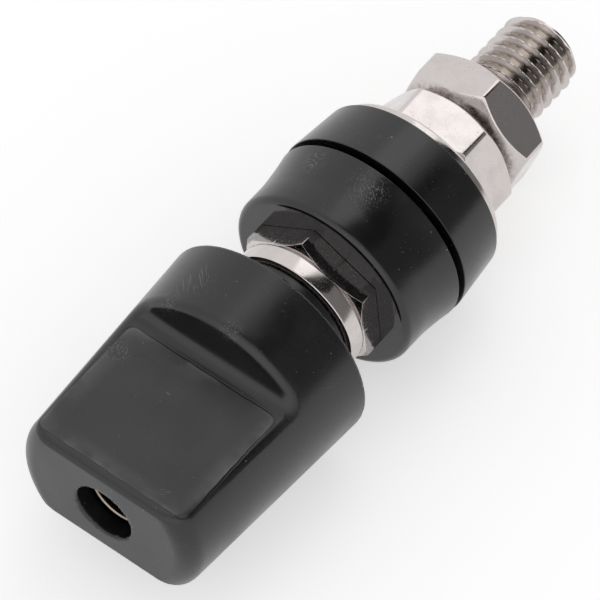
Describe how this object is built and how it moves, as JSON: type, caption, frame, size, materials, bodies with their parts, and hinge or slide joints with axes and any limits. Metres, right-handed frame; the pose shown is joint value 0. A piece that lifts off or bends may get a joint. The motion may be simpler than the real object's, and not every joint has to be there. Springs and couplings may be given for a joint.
{
  "type": "binding post",
  "caption": "Insulated panel binding post: thumb knob with two flats over a threaded barrel with plug socket and wire hole, split insulator, threaded shank with washer and hex nuts.",
  "frame": {"origin": "on the post's axis, in the plane of the collar face that seats on the front of the panel", "axes": "-Y along the axis towards the knob's end and the plug socket, +Y towards the threaded shank behind the panel, +Z square to the knob's upper flat, X along the flats' width"},
  "size_m": [0.016, 0.0478, 0.016],
  "materials": {
    "knob_plastic": "satin moulded black plastic",
    "insulator_plastic": "satin moulded black plastic with a glossier front face",
    "nickel_insert": "bright nickel plate over turned brass",
    "nickel_stud": "bright nickel plate over turned brass",
    "nickel_washer": "bright nickel plate",
    "nickel_nut": "bright nickel plate over milled hexagon brass"
  },
  "bodies": {
    "terminal": {"terminal_stud": "nickel_stud", "front_insulator": "insulator_plastic"},
    "knob_lift": {"knob_insert": "nickel_insert"},
    "knob": {"knob": "knob_plastic"},
    "rear_clamp": {"rear_insulator": "insulator_plastic", "flat_washer": "nickel_washer"},
    "panel_nut": {"panel_nut": "nickel_nut"},
    "lug_nut": {"lug_nut": "nickel_nut"}
  },
  "joints": [
    {"name": "knob_travel", "type": "slide", "parent": "terminal", "child": "knob_lift", "axis": [0, -1, 0], "range_m": [0, 0.006]},
    {"name": "knob_turn", "type": "hinge", "parent": "knob_lift", "child": "knob", "pos_m": [0, -0.012, 0], "axis": [0, -1, 0], "range_deg": [0, 2160]},
    {"name": "clamp_travel", "type": "slide", "parent": "terminal", "child": "rear_clamp", "axis": [0, 1, 0], "range_m": [0, 0.003]},
    {"name": "panel_nut_turn", "type": "hinge", "parent": "rear_clamp", "child": "panel_nut", "pos_m": [0, 0.0075, 0], "axis": [0, 1, 0], "range_deg": [0, 1080]},
    {"name": "lug_nut_travel", "type": "slide", "parent": "panel_nut", "child": "lug_nut", "axis": [0, 1, 0], "range_m": [0, 0.0025]}
  ],
  "couplings": [
    {"joint": "knob_turn", "follows": "knob_travel", "rad_per_m": 6283.2},
    {"joint": "panel_nut_turn", "follows": "clamp_travel", "rad_per_m": 6283.2}
  ]
}
